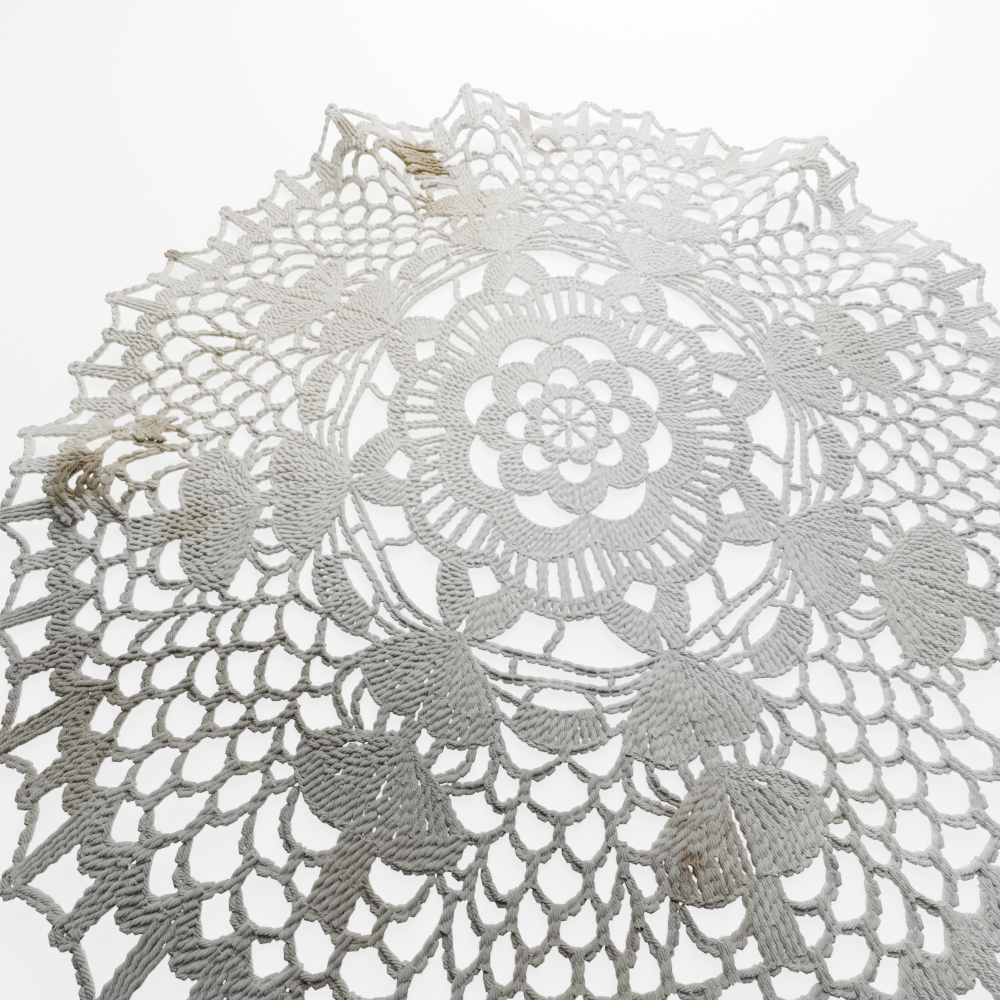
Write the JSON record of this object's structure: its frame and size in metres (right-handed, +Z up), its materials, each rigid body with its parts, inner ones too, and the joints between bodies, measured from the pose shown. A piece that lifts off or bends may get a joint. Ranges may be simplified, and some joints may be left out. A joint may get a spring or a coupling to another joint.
{
  "type": "lace doily",
  "caption": "Round crocheted cotton lace doily with a rosette middle, leaf motifs in a chain-loop net and a scalloped picot rim, lying flat with a few soft folds at its rim.",
  "frame": {"origin": "middle of the box of the laid doily, at the surface it rests on", "axes": "+Z up off the surface; +X to the right and +Y away, as the picture sees it"},
  "size_m": [0.2972, 0.298, 0.0145],
  "materials": {
    "cotton": "matt twisted cotton thread, ecru, slightly yellowed with age"
  },
  "bodies": {
    "root": {"doily": "cotton"}
  },
  "joints": []
}
